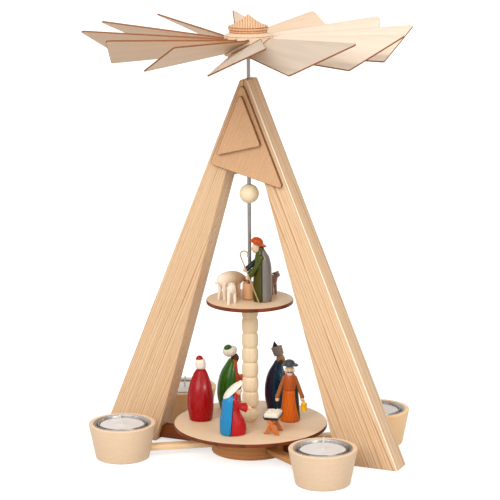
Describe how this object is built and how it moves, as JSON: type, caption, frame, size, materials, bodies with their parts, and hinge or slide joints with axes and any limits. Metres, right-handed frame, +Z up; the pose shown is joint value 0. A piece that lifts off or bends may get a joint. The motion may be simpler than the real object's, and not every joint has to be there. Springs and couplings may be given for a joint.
{
  "type": "candle carousel",
  "caption": "Wooden A-frame candle carousel: a pitched wing wheel turns two round decks of figures above tea-light cups on crossed laths.",
  "frame": {"origin": "on the spinning axis, at the table", "axes": "+Z up along the shaft; +X along the A-frame towards its right leg; -Y towards the front gable plates"},
  "size_m": [0.2604, 0.2602, 0.3544],
  "materials": {
    "ash": "clear-coated ash",
    "beech": "clear-coated beech",
    "birch_ply": "thin birch plywood, laser cut",
    "maple": "turned maple, clear coat",
    "walnut": "stained brown",
    "dark_wood": "stained dark brown",
    "steel": "drawn rod",
    "brass": "turned",
    "aluminium": "thin spun metal",
    "wax": "candle wax; plastic stands in for it",
    "red_paint": "painted wood",
    "green_paint": "painted wood",
    "purple_paint": "painted wood",
    "blue_paint": "painted wood",
    "orange_paint": "painted wood",
    "olive_paint": "painted wood",
    "yellow_paint": "painted wood",
    "wool_white": "painted wood",
    "pale_brown": "painted wood"
  },
  "bodies": {
    "frame": {"left_leg": "ash", "right_leg": "ash", "front_large_gable": "beech", "front_small_gable": "beech", "back_large_gable": "beech", "back_small_gable": "beech", "top_bush": "brass", "crossbeam": "dark_wood", "base_disc": "walnut", "lath_a": "beech", "lath_b": "beech", "pivot_cup": "brass", "front_left_cup": "beech", "front_left_insert": "aluminium", "front_right_cup": "beech", "front_right_insert": "aluminium", "back_left_cup": "beech", "back_left_insert": "aluminium", "back_right_cup": "beech", "back_right_insert": "aluminium"},
    "rotor": {"hub_cap": "ash", "upper_turntable": "birch_ply", "lower_turntable": "birch_ply", "wing_01": "birch_ply", "wing_02": "birch_ply", "wing_03": "birch_ply", "wing_04": "birch_ply", "wing_05": "birch_ply", "wing_06": "birch_ply", "wing_07": "birch_ply", "wing_08": "birch_ply", "wing_09": "birch_ply", "wing_10": "birch_ply", "wing_11": "birch_ply", "wing_12": "birch_ply", "column": "maple", "deck_collar": "maple", "shaft_ball": "maple", "wing_hub": "maple", "shaft": "steel", "red_king": "red_paint", "green_king": "green_paint", "purple_king": "purple_paint", "kneeling_woman": "blue_paint", "standing_man": "orange_paint", "manger": "orange_paint", "lantern": "yellow_paint", "shepherd": "olive_paint", "grazing_sheep": "wool_white", "standing_sheep": "pale_brown", "shepherd_crook": "pale_brown"},
    "front_left_tealight": {"front_left_tealight_cup": "aluminium", "front_left_wax": "wax"},
    "front_right_tealight": {"front_right_tealight_cup": "aluminium", "front_right_wax": "wax"},
    "back_left_tealight": {"back_left_tealight_cup": "aluminium", "back_left_wax": "wax"},
    "back_right_tealight": {"back_right_tealight_cup": "aluminium", "back_right_wax": "wax"}
  },
  "joints": [
    {"name": "rotor_spin", "type": "hinge", "parent": "frame", "child": "rotor", "pos_m": [0, 0, 0], "axis": [0, 0, 1], "continuous": true},
    {"name": "front_left_tealight_lift", "type": "slide", "parent": "frame", "child": "front_left_tealight", "axis": [0, 0, 1], "range_m": [0, 0.03]},
    {"name": "front_right_tealight_lift", "type": "slide", "parent": "frame", "child": "front_right_tealight", "axis": [0, 0, 1], "range_m": [0, 0.03]},
    {"name": "back_left_tealight_lift", "type": "slide", "parent": "frame", "child": "back_left_tealight", "axis": [0, 0, 1], "range_m": [0, 0.03]},
    {"name": "back_right_tealight_lift", "type": "slide", "parent": "frame", "child": "back_right_tealight", "axis": [0, 0, 1], "range_m": [0, 0.03]}
  ]
}
